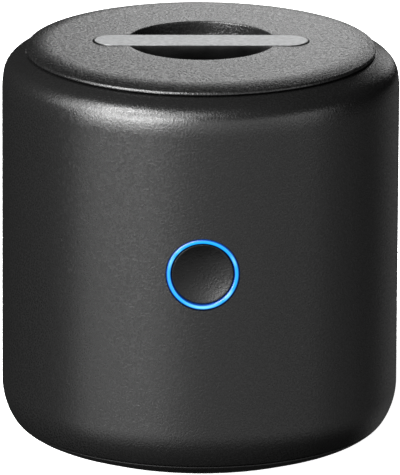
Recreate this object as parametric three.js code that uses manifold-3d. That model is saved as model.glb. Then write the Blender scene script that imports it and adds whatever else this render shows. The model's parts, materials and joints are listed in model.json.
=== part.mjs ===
// A round pacifier sterilizer case: a cup-shaped body with a lift-off lid, a lit push button on
// the front, an ultraviolet lamp under a mirrored chamber, and a rechargeable cell in the base.
// Millimetres, +Z up. The origin is the middle of the underside and the front faces -Y.

import * as THREE from "three";
import { mergeVertices } from "three/addons/utils/BufferGeometryUtils.js";
import Module from "manifold-3d";

const wasm = await Module();
wasm.setup();

const degree = Math.PI / 180;

// Clearances that every piece shares
const fitGap = 0.3; // between two pieces that nest in each other
const overrun = 1; // how far a cutter passes the face that it leaves by
const weldTolerance = 1e-4; // vertices closer than this are one vertex

// Facets round a full turn
const bodyFacets = 48;
const ringFacets = 32;
const smallFacets = 16;
const screwFacets = 8;

// Outer shell
const bodyRadius = 40;
const rimHeight = 79.8; // top of the shell's mouth
const shellWall = 2.2;
const shoulderWidth = 4.7; // from the wall's outside to the flat rim under the lid
const shoulderRadius = 4.8; // curve at the top of the wall
const shoulderSlope = 32 * degree; // where that curve gives way to the flatter one
const browRadius = 20; // the flatter curve that leads in to the rim
const seamHeight = 4.2; // where the shell ends and the base begins
const lowerCurve = 13.4; // radius of the curve that draws the shell in towards the base
const lowerCurveHeight = 11.6; // where that curve starts

// Base
const footProud = 0.3; // how far the foot stands below the base
const footSunk = 0.7;
const footWidth = 5;
const footInset = 1.2; // from the foot to the edge of the base's flat underside
const baseFloor = 2.1;
const baseEdgeCurve = 8;
const baseConeSlope = 20 * degree;
const baseEdgeSlope = 47 * degree;
const baseCollar = 2; // wall of the ring that stands up inside the shell
const seamGap = 0.2;

// Screws that hold the base, the board and the inner frame together
const screwRadius = 1;
const screwHeadRadius = 2.1;
const screwHeadHeight = 1.2;
const headFaceShare = 0.8; // flat of a head over its full radius
const postWall = 0.8; // material round a screw head
const screwBite = 3.2; // how far a screw goes into the inner frame

// Battery
const padThickness = 0.5;
const padInset = 2; // from the cell's edge to the pad's
const cellHeight = 7.5;
const cellLength = 46;
const cellSideRoom = 1;
const cellTopRoom = 0.7;
const cellCorner = 3;

// Main board
const boardThickness = 1.2;
const boardRim = 0.5; // board left outside the ribbons
const chipSide = 7;
const chipHeight = 1;
const chipPlace = 14; // from the axis to the chip's middle

// Charging socket, at the back
const socketWidth = 8.94;
const socketHeight = 3.26;
const socketDepth = 7.4;
const socketSheet = 0.3;
const tongueWidth = 6.2;
const tongueThickness = 0.7;
const tongueShort = 0.8; // tongue's end behind the socket's mouth
const portMargin = 1.9; // shell cut back round the socket for the plug's grip
const bezelThickness = 0.9; // plate round the socket's mouth, deep in the port

// Inner frame and lamp
const socketRoom = 0.5;
const plateThickness = 1.4;
const frameWall = 1.6;
const lampBoardRadius = 12.9;
const lampBoardThickness = 1.2;
const diodeSide = 3.5;
const diodeHeight = 1.2;
const diodeRing = 8; // from the axis to the middle of an outer diode
const diodeRoom = 0.8;
const gasketThickness = 0.6;
const windowSeat = 2.4; // width of the ring that the window rests on
const windowThickness = 1.5;

// Chamber
const linerWall = 1.2;
const windowLap = 2; // how far the chamber's floor covers the window's edge
const mouthStep = 0.4; // the shell's mouth is this much wider than the chamber

// Pacifier rest
const restLegs = 3;
const restThickness = 1.6;
const restRingWidth = 2.2;
const restHubRadius = 9;
const restLegRadius = 1.1;

// Lid
const lidGap = 0.6; // dark line between the lid and the shell's rim
const lidInset = 0.1; // the lid's edge inside the flat rim's
const domeRise = 1.95; // from the lid's lower edge to its crown
const domeRadius = 450;
const lidEdgeWidth = 4.2; // rounded edge, measured across
const lidUndercut = 0.6; // how far the inside of the lid is thicker than its edge
const spigotGap = 0.4;
const spigotWall = 1.8;
const gripWidth = 1.6; // rubber ring round the spigot
const gripBite = 0.8; // depth of its groove
const gripProud = 0.2;
const gripDrop = 4.4; // from the lid's edge to the rubber ring
const sealWidth = 2.6;
const sealThickness = 0.3;
const coverThickness = 2;
const mirrorThickness = 0.5;
const mirrorInset = 0.6;
const lidScrewInset = 2.4; // from the spigot's wall to a boss
const lidBossRadius = 2.6;
const lidScrewBite = 6;
const magnetRadius = 2.5;
const magnetHeight = 2;
const magnetInset = 1; // from the spigot's wall to the magnet

// Finger recess and the bar across it
const recessRadius = 14.85;
const recessDepth = 9.8; // below the crown
const recessCurve = 8;
const recessWall = 1.6;
const barLanding = 6.7; // how far each end of the bar reaches past the recess
const barWidth = 8.5;
const barHeight = 3.6;
const plateHeight = 0.6; // metal inlay on the bar
const inlayOverhang = 0.3; // inlay's edge outside the bar
const inlaySink = 0.2; // inlay's face below the crown
const pocketWall = 1.6;
const barScrewBite = 2.4;

// Push button
const buttonHeight = 44.7; // its centre above the surface
const capRadius = 6.25;
const capWall = 1.1;
const dishDepth = 1.1;
const dishCurveSteps = 6;
const capInset = 0.5; // cap's edge inside the shell's surface
const capFlange = 0.9; // how far the flange stands out
const capFlangeHeight = 0.6;
const capFlangeGap = 0.25;
const bossRadius = 1.5;
const buttonTravel = 0.4;
const lightBand = 0.75; // width of the lit ring
const lightFlange = 1.3; // its flange behind the shell
const bracketSide = 20;
const bracketBoreGap = 0.45;
const smallBoardThickness = 0.8;
const boardStandOff = 0.7; // from the chamber's outside to the small boards
const switchSide = 4.5;
const switchHeight = 0.8;
const switchFloor = 0.15;
const plungerRadius = 1;
const plungerRoom = 0.1;
const ringDiodeSide = 1.6;
const ringDiodeHeight = 0.5;
const boardScrewRadius = 0.8;
const boardScrewHead = 1.4;
const boardScrewHeadHeight = 0.9;
const boardScrewInset = 1.9; // from the bracket's edge to a screw
const boardScrewBite = 1.5;

// Ribbons and the lid sensor, at the right
const ribbonThickness = 0.3;
const buttonRibbonWidth = 6;
const sensorRibbonWidth = 4;
const sensorBoardWidth = 8;
const sensorBoardHeight = 7;
const sensorSide = 3;
const sensorHeight = 1;

// Heights, worked out from the underside up
const baseBottom = footProud;
const footTop = footProud + footSunk;
const floorTop = baseBottom + baseFloor;
const headSeat = footTop + screwHeadHeight + fitGap;
const cellBottom = floorTop + padThickness;
const boardBottom = cellBottom + cellHeight + cellTopRoom;
const boardTop = boardBottom + boardThickness;
const socketMiddle = boardTop + socketHeight / 2;
const plateBottom = boardTop + socketHeight + socketRoom;
const plateTop = plateBottom + plateThickness;
const lampBoardTop = plateTop + lampBoardThickness;
const gasketBottom = lampBoardTop + diodeHeight + diodeRoom;
const windowBottom = gasketBottom + gasketThickness;
const linerBottom = windowBottom + windowThickness;
const chamberFloor = linerBottom + linerWall;
const collarTop = boardBottom - fitGap;

// Heights, worked out from the rim
const lidEdge = rimHeight + lidGap;
const crown = lidEdge + domeRise;
const lidUnderside = lidEdge - lidUndercut;
const recessFloor = crown - recessDepth;
const coverTop = recessFloor - recessWall - fitGap;
const spigotBottom = coverTop - coverThickness;
const inlayTop = crown - inlaySink;
const barTop = inlayTop - plateHeight;
const barBottom = barTop - barHeight;

// The curves of the shell's ends
const rimRadius = bodyRadius - shoulderWidth;
const browStart = bodyRadius - shoulderRadius * (1 - Math.sin(shoulderSlope));
const browCentre = browStart - browRadius * Math.sin(shoulderSlope);
const browEndSlope = Math.asin((rimRadius - browCentre) / browRadius);
const browRise = browRadius * (Math.cos(browEndSlope) - Math.cos(shoulderSlope));
const shoulderTop = rimHeight - browRise;
const shoulderHeight = shoulderTop - shoulderRadius * Math.cos(shoulderSlope);
const browCentreHeight = shoulderTop - browRadius * Math.cos(shoulderSlope);
const innerShoulder = shoulderRadius - shellWall;
const flangeUnderside = shoulderHeight + innerShoulder;
const lowerCurveAngle = Math.asin((lowerCurveHeight - seamHeight) / lowerCurve);
const lowerCurveCentre = bodyRadius - lowerCurve;
const seamRadius = lowerCurveCentre + lowerCurve * Math.cos(lowerCurveAngle);
const shellLip = lowerCurveCentre + (lowerCurve - shellWall) * Math.cos(lowerCurveAngle);
const shellInside = bodyRadius - shellWall;
const facetShare = Math.cos(Math.PI / bodyFacets); // flat of a facet over its corner

// The base's rounded edge, and the flat underside that its cone leaves for the foot
const baseEdge = [seamRadius - fitGap / 2, seamHeight - seamGap];
const baseEdgeCentre = [
  baseEdge[0] - baseEdgeCurve * Math.sin(baseEdgeSlope),
  baseEdge[1] + baseEdgeCurve * Math.cos(baseEdgeSlope),
];
const coneTop = [
  baseEdgeCentre[0] + baseEdgeCurve * Math.sin(baseConeSlope),
  baseEdgeCentre[1] - baseEdgeCurve * Math.cos(baseConeSlope),
];
const underside = coneTop[0] - (coneTop[1] - baseBottom) / Math.tan(baseConeSlope);
const footRadius = underside - footInset - footWidth / 2;
const collarRadius = shellLip - fitGap;
const socketMouth = shellLip - fitGap / 2;

// Distances outward from the axis to the faces of the button's stack, from the shell inwards
const bracketFront = Math.sqrt((shellInside * facetShare) ** 2 - (bracketSide / 2) ** 2) - fitGap;
const capFlangeFront = bracketFront - capFlangeGap;
const capBack = capFlangeFront - capFlangeHeight;
const switchTop = capBack - buttonTravel - plungerRoom;
const smallBoardFront = switchTop - switchHeight;
const smallBoardBack = smallBoardFront - smallBoardThickness;
const capEdge = bodyRadius - capInset;
const lightInside = capRadius + fitGap;
const lightOutside = lightInside + lightBand;
const switchWell = smallBoardFront + switchFloor;
const ribbonFace = smallBoardBack + (smallBoardThickness - ribbonThickness) / 2;
const boardRadius = Math.hypot(ribbonFace + ribbonThickness, buttonRibbonWidth / 2) + boardRim;

// The chamber fills what the button's stack leaves, and the lid fits the chamber
const chamberOutside = smallBoardBack - boardStandOff;
const chamberRadius = chamberOutside - linerWall;
const linerFlange = bodyRadius - shoulderRadius - fitGap;
const windowOpening = lampBoardRadius + fitGap;
const windowRadius = windowOpening + windowSeat;
const mouthRadius = chamberRadius + mouthStep;
const lidRadius = rimRadius - lidInset;
const spigotRadius = chamberRadius - spigotGap;
const spigotInside = spigotRadius - spigotWall;
const lidScrewCircle = spigotInside - lidScrewInset - lidBossRadius;
const magnetPlace = spigotInside - magnetInset - magnetRadius;
const barLength = 2 * (recessRadius + barLanding);
const barScrewInset = barLanding / 2; // from the bar's end to its screw

// Finishes
const finish = (color, roughness, metalness) =>
  new THREE.MeshStandardMaterial({ color, roughness, metalness });
const charcoal = () => finish(0x2c2d2f, 0.55, 0);
const darkPlastic = () => finish(0x1d1e20, 0.6, 0);
const blackRubber = () => finish(0x121212, 0.85, 0);
const silicone = () => finish(0x1a1b1c, 0.75, 0);
const satinMetal = () => finish(0x8f9193, 0.4, 0.9);
const steel = () => finish(0xa9abae, 0.35, 1);
const mirrorMetal = () => finish(0xd8dade, 0.12, 1);
const quartz = () => finish(0xe6eef4, 0.05, 0);
const whitePlastic = () => finish(0xe9e9e6, 0.5, 0);
const blueLight = () => finish(0x1eb4ff, 0.35, 0);
const greenBoard = () => finish(0x1c5a38, 0.5, 0);
const foil = () => finish(0x9aa4ae, 0.45, 0.3);
const amber = () => finish(0xc77a1c, 0.5, 0);
const diodeWhite = () => finish(0xf2ecc4, 0.4, 0);

// Points of a circle's arc in the plane of radius and height
function arc(centre, radius, start, end, steps) {
  const points = [];
  for (let step = 0; step <= steps; step += 1) {
    const angle = start + ((end - start) * step) / steps;
    points.push([centre[0] + radius * Math.cos(angle), centre[1] + radius * Math.sin(angle)]);
  }
  return points;
}

// A body of revolution about Z from an outline of [radius, height] points
function revolve(outline, facets) {
  const points = outline.map(([radius, height]) => new THREE.Vector2(radius, height));
  const onAxis = points[0].x === 0 && points[points.length - 1].x === 0;
  if (!THREE.ShapeUtils.isClockWise(points)) {
    points.reverse();
  }
  points.reverse();
  if (!onAxis) {
    points.push(points[0].clone());
  }
  return new THREE.LatheGeometry(points, facets).rotateX(Math.PI / 2);
}

// A disc or a ring, from one height to another
function disc(radius, bottom, top, facets) {
  return revolve([[0, bottom], [radius, bottom], [radius, top], [0, top]], facets);
}

function ring(inside, outside, bottom, top, facets) {
  return revolve([[inside, bottom], [outside, bottom], [outside, top], [inside, top]], facets);
}

// A box centred in X and Y, standing on a height
function block(width, depth, bottom, top) {
  const height = top - bottom;
  return new THREE.BoxGeometry(width, depth, height).translate(0, 0, bottom + height / 2);
}

// A slab with rounded corners, centred in X and Y
function roundedSlab(width, depth, corner, bottom, top, cornerSteps) {
  const x = width / 2 - corner;
  const y = depth / 2 - corner;
  const shape = new THREE.Shape();
  shape.absarc(x, y, corner, 0, Math.PI / 2, false);
  shape.absarc(-x, y, corner, Math.PI / 2, Math.PI, false);
  shape.absarc(-x, -y, corner, Math.PI, Math.PI * 1.5, false);
  shape.absarc(x, -y, corner, Math.PI * 1.5, Math.PI * 2, false);
  const options = { depth: top - bottom, bevelEnabled: false, curveSegments: cornerSteps };
  return new THREE.ExtrudeGeometry(shape, options).translate(0, 0, bottom);
}

function solidOf(geometry) {
  const bare = geometry.clone();
  bare.deleteAttribute("normal");
  bare.deleteAttribute("uv");
  const welded = mergeVertices(bare, weldTolerance);
  const vertProperties = new Float32Array(welded.attributes.position.array);
  const triVerts = new Uint32Array(welded.index.array);
  return new wasm.Manifold(new wasm.Mesh({ numProp: 3, vertProperties, triVerts }));
}

function geometryOf(solid) {
  const { vertProperties, triVerts } = solid.getMesh();
  const geometry = new THREE.BufferGeometry();
  geometry.setAttribute("position", new THREE.BufferAttribute(vertProperties, 3));
  geometry.setIndex(new THREE.BufferAttribute(triVerts, 1));
  geometry.computeVertexNormals();
  return geometry;
}

function join(...pieces) {
  return geometryOf(pieces.map(solidOf).reduce((whole, piece) => whole.add(piece)));
}

function cut(base, ...tools) {
  return geometryOf(tools.map(solidOf).reduce((whole, tool) => whole.subtract(tool), solidOf(base)));
}

function overlap(first, second) {
  return geometryOf(solidOf(first).intersect(solidOf(second)));
}

// Copies of a geometry moved to places round the axis
function around(geometry, radius, angles) {
  return angles.map((angle) =>
    geometry.clone().translate(radius * Math.cos(angle), radius * Math.sin(angle), 0));
}

const quarterAngles = [45, 135, 225, 315].map((angle) => angle * degree);

// Turns a piece whose outward direction is +Z so that it faces the front at the button's height
function toFront(geometry) {
  return geometry.rotateX(Math.PI / 2).translate(0, 0, buttonHeight);
}

// Turns a piece whose outward direction is +Z so that it faces the back at the socket's height
function toSocket(geometry) {
  return geometry.rotateX(-Math.PI / 2).translate(0, 0, socketMiddle);
}

// The port's outline as a slab, drawn in by an inset
function portSlab(inset, bottom, top) {
  const width = socketWidth + 2 * (portMargin - inset);
  const height = socketHeight + 2 * (portMargin - inset);
  return roundedSlab(width, height, height / 2 - fitGap, bottom, top, 5);
}

function screw(headRadius, headHeight, shaftRadius, shaftLength) {
  return revolve([
    [0, -headHeight],
    [headRadius * headFaceShare, -headHeight],
    [headRadius, -headHeight / 2],
    [headRadius, 0],
    [shaftRadius, 0],
    [shaftRadius, shaftLength],
    [0, shaftLength],
  ], screwFacets);
}

const model = new THREE.Group();

function place(name, geometry, material, parent = model) {
  const mesh = new THREE.Mesh(geometry, material);
  mesh.name = name;
  parent.add(mesh);
  return mesh;
}

// Outer shell, with the button's hole in front and the charging port behind
function outerShell() {
  const shoulderCentre = [bodyRadius - shoulderRadius, shoulderHeight];
  const quarter = Math.PI / 2;
  const curveCentre = [lowerCurveCentre, lowerCurveHeight];
  const innerCurve = lowerCurve - shellWall;
  const browAngles = [quarter - shoulderSlope, quarter - browEndSlope];
  const brow = arc([browCentre, browCentreHeight], browRadius, ...browAngles, 2).slice(1);
  const body = revolve([
    ...arc(curveCentre, lowerCurve, -lowerCurveAngle, 0, 4),
    ...arc(shoulderCentre, shoulderRadius, 0, quarter - shoulderSlope, 4),
    ...brow,
    [mouthRadius, rimHeight],
    [mouthRadius, flangeUnderside],
    ...arc(shoulderCentre, innerShoulder, quarter, 0, 3),
    ...arc(curveCentre, innerCurve, 0, -lowerCurveAngle, 2),
    [shellLip, seamHeight],
  ], bodyFacets);
  const buttonHole = toFront(
    disc(lightOutside + fitGap, chamberOutside, bodyRadius + overrun, ringFacets));
  const port = toSocket(portSlab(0, chamberOutside, bodyRadius + overrun));
  return cut(body, buttonHole, port);
}

// Base: floor, cone and edge, a collar inside the shell and four screw posts
function base() {
  const quarter = Math.PI / 2;
  const edgeAngles = [baseConeSlope - quarter, baseEdgeSlope - quarter];
  const collarInside = collarRadius - baseCollar;
  const pan = revolve([
    [0, baseBottom],
    [underside, baseBottom],
    ...arc(baseEdgeCentre, baseEdgeCurve, ...edgeAngles, 3),
    [collarRadius, baseEdge[1]],
    [collarRadius, collarTop],
    [collarInside, collarTop],
    [collarInside, floorTop],
    [0, floorTop],
  ], bodyFacets);
  const postRadius = screwHeadRadius + fitGap + postWall;
  const post = disc(postRadius, baseBottom + footSunk + fitGap, boardBottom, smallFacets);
  const groove = ring(
    footRadius - footWidth / 2 - fitGap,
    footRadius + footWidth / 2 + fitGap,
    baseBottom - overrun,
    footTop,
    bodyFacets);
  const headRoom = disc(screwHeadRadius + fitGap, 0, headSeat, smallFacets);
  const shaftRoom = disc(screwRadius + fitGap, 0, boardBottom + overrun, screwFacets);
  return cut(
    join(pan, ...around(post, footRadius, quarterAngles)),
    groove,
    ...around(headRoom, footRadius, quarterAngles),
    ...around(shaftRoom, footRadius, quarterAngles));
}

function foot() {
  const inside = footRadius - footWidth / 2;
  const outside = footRadius + footWidth / 2;
  return revolve([
    [inside + footProud, 0],
    [outside - footProud, 0],
    [outside, footProud],
    [outside, footTop],
    [inside, footTop],
    [inside, footProud],
  ], ringFacets);
}

// Main board, with a hole at each screw
function mainBoard() {
  const hole = disc(
    screwRadius + fitGap, boardBottom - overrun, boardTop + overrun, screwFacets);
  return cut(
    disc(boardRadius, boardBottom, boardTop, ringFacets),
    ...around(hole, footRadius, quarterAngles));
}

// Charging socket: a rounded tube of sheet, closed at the back, with a tongue inside
function chargingSocket() {
  const corner = socketHeight / 2 - socketSheet / 2;
  const start = socketMouth - socketDepth;
  const outer = roundedSlab(socketWidth, socketHeight, corner, start, socketMouth, 4);
  const inner = roundedSlab(
    socketWidth - 2 * socketSheet,
    socketHeight - 2 * socketSheet,
    corner - socketSheet,
    start + socketSheet,
    socketMouth + overrun,
    4);
  const tongue = block(tongueWidth, tongueThickness, start, socketMouth - tongueShort);
  return toSocket(join(cut(outer, inner), tongue));
}

function portBezel() {
  const back = socketMouth + fitGap;
  const front = back + bezelThickness;
  const width = socketWidth - socketSheet;
  const height = socketHeight - socketSheet;
  const slot = roundedSlab(
    width, height, height / 2 - socketSheet, back - overrun, front + overrun, 4);
  return toSocket(cut(portSlab(fitGap, back, front), slot));
}

// Inner frame: a plate on four posts, a rim under the chamber and a ring round the lamp
function innerFrame() {
  const postRadius = screwHeadRadius + fitGap + postWall;
  const plate = disc(chamberOutside, plateBottom, plateTop, ringFacets);
  const rim = ring(
    chamberOutside - frameWall, chamberOutside, plateBottom, linerBottom, ringFacets);
  const lampRing = ring(
    windowOpening, windowRadius + fitGap, plateBottom, gasketBottom, ringFacets);
  const post = disc(postRadius, boardTop, plateTop, smallFacets);
  const hole = disc(
    screwRadius + fitGap, boardTop - overrun, boardTop + screwBite + fitGap, screwFacets);
  return cut(
    join(plate, rim, lampRing, ...around(post, footRadius, quarterAngles)),
    ...around(hole, footRadius, quarterAngles));
}

// Chamber: a mirrored cup with a window in its floor and a flange under the shell's mouth
function chamberLiner() {
  const opening = windowRadius - windowLap;
  return revolve([
    [opening, linerBottom],
    [chamberOutside, linerBottom],
    [chamberOutside, flangeUnderside - linerWall],
    [linerFlange, flangeUnderside - linerWall],
    [linerFlange, flangeUnderside],
    [chamberRadius, flangeUnderside],
    [chamberRadius, chamberFloor],
    [opening, chamberFloor],
  ], bodyFacets);
}

// Pacifier rest: an outer ring and a hub joined by three arms, on three legs
function pacifierRest() {
  const outside = chamberRadius - fitGap;
  const bottom = chamberFloor + 2 * restThickness;
  const top = bottom + restThickness;
  const middle = outside - restRingWidth / 2;
  const outer = ring(outside - restRingWidth, outside, bottom, top, ringFacets);
  const hub = ring(restHubRadius - restRingWidth, restHubRadius, bottom, top, ringFacets);
  const armStart = restHubRadius - restRingWidth / 2;
  const arms = [];
  const legs = [];
  for (let index = 0; index < restLegs; index += 1) {
    const angle = Math.PI / 2 + (index * Math.PI * 2) / restLegs;
    const arm = block(middle - armStart, restRingWidth, bottom, top);
    arms.push(arm.translate((middle + armStart) / 2, 0, 0).rotateZ(angle));
    const leg = disc(restLegRadius, chamberFloor, bottom + restThickness / 2, screwFacets);
    legs.push(leg.translate(middle, 0, 0).rotateZ(angle));
  }
  return join(outer, hub, ...arms, ...legs);
}

// Height of the lid's domed top at a distance from the axis
function domeHeight(radius) {
  return crown - domeRadius + Math.sqrt(domeRadius ** 2 - radius ** 2);
}

// Lid: dome, rounded edge, finger recess, spigot, bosses and the pockets of the bar
function lidShell() {
  const edgeStart = lidRadius - lidEdgeWidth;
  const edgeRise = domeHeight(edgeStart) - lidEdge;
  const edgeCurve = [];
  const edgeSteps = 4;
  for (let step = 0; step <= edgeSteps; step += 1) {
    const angle = (Math.PI / 2) * (1 - step / edgeSteps);
    edgeCurve.push([
      edgeStart + lidEdgeWidth * Math.cos(angle),
      lidEdge + edgeRise * Math.sin(angle),
    ]);
  }
  const domeShares = [0.5];
  const domeTop = domeShares.map((share) => {
    const radius = recessRadius + share * (edgeStart - recessRadius);
    return [radius, domeHeight(radius)];
  });
  const recessCentre = [recessRadius - recessCurve, recessFloor + recessCurve];
  const recess = revolve([
    [0, recessFloor],
    ...arc(recessCentre, recessCurve, -Math.PI / 2, 0, 4),
    [recessRadius, crown + overrun],
    [0, crown + overrun],
  ], bodyFacets);
  const gripTop = lidEdge - gripDrop;
  const gripFloor = spigotRadius - gripBite;
  const body = revolve([
    [0, recessFloor],
    ...arc(recessCentre, recessCurve, -Math.PI / 2, 0, 4),
    [recessRadius, domeHeight(recessRadius)],
    ...domeTop,
    ...edgeCurve,
    [spigotRadius, lidEdge],
    [spigotRadius, gripTop],
    [gripFloor, gripTop],
    [gripFloor, gripTop - gripWidth],
    [spigotRadius, gripTop - gripWidth],
    [spigotRadius, spigotBottom],
    [spigotInside, spigotBottom],
    [spigotInside, lidUnderside],
    [recessRadius + recessWall, lidUnderside],
    ...arc(recessCentre, recessCurve + recessWall, 0, -Math.PI / 2, 3),
    [0, recessFloor - recessWall],
  ], bodyFacets);
  const inlayWidth = barWidth + 2 * fitGap;
  const inlayLength = barLength + 2 * fitGap;
  const padWidth = inlayWidth + 2 * pocketWall;
  const padLength = inlayLength + 2 * pocketWall;
  const pad = roundedSlab(
    padLength, padWidth, padWidth / 2 - fitGap, barBottom - pocketWall, lidEdge, 8);
  const boss = disc(lidBossRadius, coverTop, lidEdge, smallFacets);
  const bossHole = disc(
    screwRadius + fitGap, coverTop - overrun, coverTop + lidScrewBite + fitGap, screwFacets);
  const inlayPocket = roundedSlab(
    inlayLength, inlayWidth, inlayWidth / 2 - fitGap, barTop - fitGap, crown + overrun, 8);
  const barPocket = roundedSlab(
    inlayLength - 2 * inlayOverhang,
    inlayWidth - 2 * inlayOverhang,
    inlayWidth / 2 - inlayOverhang - fitGap,
    barBottom,
    crown,
    8);
  const screwHole = disc(
    screwRadius + fitGap, barBottom - pocketWall - overrun, barTop, screwFacets);
  const screwPlace = barLength / 2 - barScrewInset;
  return cut(
    join(body, pad, ...around(boss, lidScrewCircle, quarterAngles)),
    recess,
    inlayPocket,
    barPocket,
    ...around(screwHole, screwPlace, [0, Math.PI]),
    ...around(bossHole, lidScrewCircle, quarterAngles));
}

// Bar across the finger recess, with a blind hole for a screw at each end
function handleBar() {
  const length = barLength - 2 * inlayOverhang;
  const width = barWidth - 2 * inlayOverhang;
  const body = roundedSlab(length, width, width / 2 - fitGap, barBottom, barTop, 8);
  const hole = disc(
    screwRadius + fitGap, barBottom - overrun, barBottom + barScrewBite + fitGap, screwFacets);
  return cut(body, ...around(hole, barLength / 2 - barScrewInset, [0, Math.PI]));
}

function handleInlay() {
  return roundedSlab(barLength, barWidth, barWidth / 2 - fitGap, barTop, inlayTop, 10);
}

// Disc that closes the lid from below, with a sunk seat for each screw
function lidCover() {
  const headRoom = disc(
    screwHeadRadius + fitGap,
    spigotBottom - overrun,
    spigotBottom + screwHeadHeight + fitGap,
    smallFacets);
  const shaftRoom = disc(
    screwRadius + fitGap, spigotBottom - overrun, coverTop + overrun, screwFacets);
  return cut(
    disc(spigotInside - fitGap, spigotBottom, coverTop, ringFacets),
    ...around(headRoom, lidScrewCircle, quarterAngles),
    ...around(shaftRoom, lidScrewCircle, quarterAngles));
}

// Button cap: a dished face on a skirt, with a flange that keeps it in and a boss for the switch
function buttonCap() {
  const dishRadius = (capRadius ** 2 + dishDepth ** 2) / (2 * dishDepth);
  const dishBottom = capEdge - dishDepth;
  const dishAngle = Math.asin(capRadius / dishRadius);
  const face = arc(
    [0, dishBottom + dishRadius],
    dishRadius,
    dishAngle - Math.PI / 2,
    -Math.PI / 2,
    dishCurveSteps);
  face.pop();
  return toFront(revolve([
    [0, capBack],
    [bossRadius, capBack],
    [bossRadius, dishBottom - capWall],
    [capRadius - capWall, dishBottom - capWall],
    [capRadius - capWall, capBack],
    [capRadius + capFlange, capBack],
    [capRadius + capFlange, capFlangeFront],
    [capRadius, capFlangeFront],
    ...face,
    [0, dishBottom],
  ], ringFacets));
}

// Lit ring: its front follows the shell's surface and its flange sits behind the wall
function lightRing() {
  const band = toFront(
    ring(lightInside, lightOutside, bracketFront, bodyRadius + overrun, ringFacets));
  const flange = toFront(
    ring(lightInside, lightOutside + lightFlange, bracketFront, bodyRadius, ringFacets));
  const reach = lightOutside + lightFlange + overrun;
  const low = buttonHeight - reach;
  const high = buttonHeight + reach;
  return join(
    overlap(band, disc(bodyRadius, low, high, bodyFacets)),
    overlap(flange, disc(shellInside * facetShare - fitGap, low, high, bodyFacets)));
}

// The two screws of the button's board stand in opposite corners
const boardScrewPlace = bracketSide / 2 - boardScrewInset;
const boardScrewCorners = [[-1, 1], [1, -1]];

function boardHoles(from, to) {
  const hole = disc(boardScrewRadius + fitGap, from, to, screwFacets);
  return boardScrewCorners.map(([x, y]) =>
    hole.clone().translate(x * boardScrewPlace, y * boardScrewPlace, 0));
}

function buttonBracket() {
  const bore = disc(
    capRadius + capFlange + bracketBoreGap,
    smallBoardFront - overrun,
    bracketFront + overrun,
    ringFacets);
  return toFront(cut(
    block(bracketSide, bracketSide, smallBoardFront, bracketFront),
    bore,
    ...boardHoles(smallBoardFront - overrun, bracketFront + overrun)));
}

function buttonBoard() {
  return toFront(cut(
    block(bracketSide, bracketSide, smallBoardBack, smallBoardFront),
    ...boardHoles(smallBoardBack - overrun, smallBoardFront + overrun)));
}

function tactSwitch() {
  return toFront(cut(
    block(switchSide, switchSide, smallBoardFront, smallBoardFront + switchHeight),
    disc(plungerRadius + fitGap, switchWell, capBack + overrun, screwFacets)));
}

function switchPlunger() {
  const bottom = switchWell + buttonTravel + plungerRoom;
  return toFront(disc(plungerRadius, bottom, capBack, screwFacets));
}

// Body pieces
place("outer_shell", outerShell(), charcoal());
place("base_cap", base(), charcoal());
place("foot_ring", foot(), blackRubber());
place("main_board", mainBoard(), greenBoard());
place("usb_socket", chargingSocket(), steel());
place("port_bezel", portBezel(), darkPlastic());
place("inner_frame", innerFrame(), darkPlastic());
place("chamber_liner", chamberLiner(), mirrorMetal());
place("pacifier_rest", pacifierRest(), whitePlastic());
place("quartz_window", disc(windowRadius, windowBottom, linerBottom, ringFacets), quartz());
place(
  "window_gasket",
  ring(windowOpening, windowRadius, gasketBottom, windowBottom, ringFacets),
  silicone());
place("uv_lamp_board", disc(lampBoardRadius, plateTop, lampBoardTop, ringFacets), foil());

const baseScrewLength = boardTop + screwBite - headSeat;
quarterAngles.forEach((angle, index) => {
  const mesh = place(
    `base_screw_${index + 1}`,
    screw(screwHeadRadius, screwHeadHeight, screwRadius, baseScrewLength),
    steel());
  mesh.position.set(footRadius * Math.cos(angle), footRadius * Math.sin(angle), headSeat);
});

const diodePlaces = [[0, 0], [1, 0], [0, 1], [-1, 0], [0, -1]];
diodePlaces.forEach(([x, y], index) => {
  const diode = block(diodeSide, diodeSide, 0, diodeHeight);
  const mesh = place(`uv_diode_${index + 1}`, diode, diodeWhite());
  mesh.position.set(x * diodeRing, y * diodeRing, lampBoardTop);
});

// The cell lies between the posts on a foam pad
const postEdge = footRadius * Math.cos(quarterAngles[0]) - screwHeadRadius - fitGap - postWall;
const cellWidth = 2 * (postEdge - cellSideRoom);
place(
  "battery_cell",
  roundedSlab(cellWidth, cellLength, cellCorner, cellBottom, cellBottom + cellHeight, 4),
  foil());
place(
  "battery_pad",
  block(cellWidth - 2 * padInset, cellLength - 2 * padInset, floorTop, cellBottom),
  silicone());
const chip = place("control_chip", block(chipSide, chipSide, 0, chipHeight), darkPlastic());
chip.position.set(-chipPlace, 0, boardTop);

// Button and the parts behind it
place("button_cap", buttonCap(), darkPlastic());
place("switch_plunger", switchPlunger(), whitePlastic());
place("button_light_ring", lightRing(), blueLight());
place("button_bracket", buttonBracket(), darkPlastic());
place("button_board", buttonBoard(), greenBoard());
place("tact_switch", tactSwitch(), steel());

const ringDiodePlace = (lightInside + lightOutside) / 2 - ringDiodeSide / 2;
quarterAngles.forEach((angle, index) => {
  const diode = block(
    ringDiodeSide, ringDiodeSide, smallBoardFront, smallBoardFront + ringDiodeHeight);
  diode.translate(ringDiodePlace, 0, 0).rotateZ(angle);
  place(`ring_diode_${index + 1}`, toFront(diode), diodeWhite());
});

boardScrewCorners.forEach(([x, y], index) => {
  const pin = screw(
    boardScrewHead, boardScrewHeadHeight, boardScrewRadius, smallBoardThickness + boardScrewBite);
  pin.translate(x * boardScrewPlace, y * boardScrewPlace, smallBoardBack);
  place(`board_screw_${index + 1}`, toFront(pin), steel());
});

function ribbon(width, top) {
  return block(width, ribbonThickness, boardTop, top)
    .translate(0, -ribbonFace - ribbonThickness / 2, 0);
}

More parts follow.
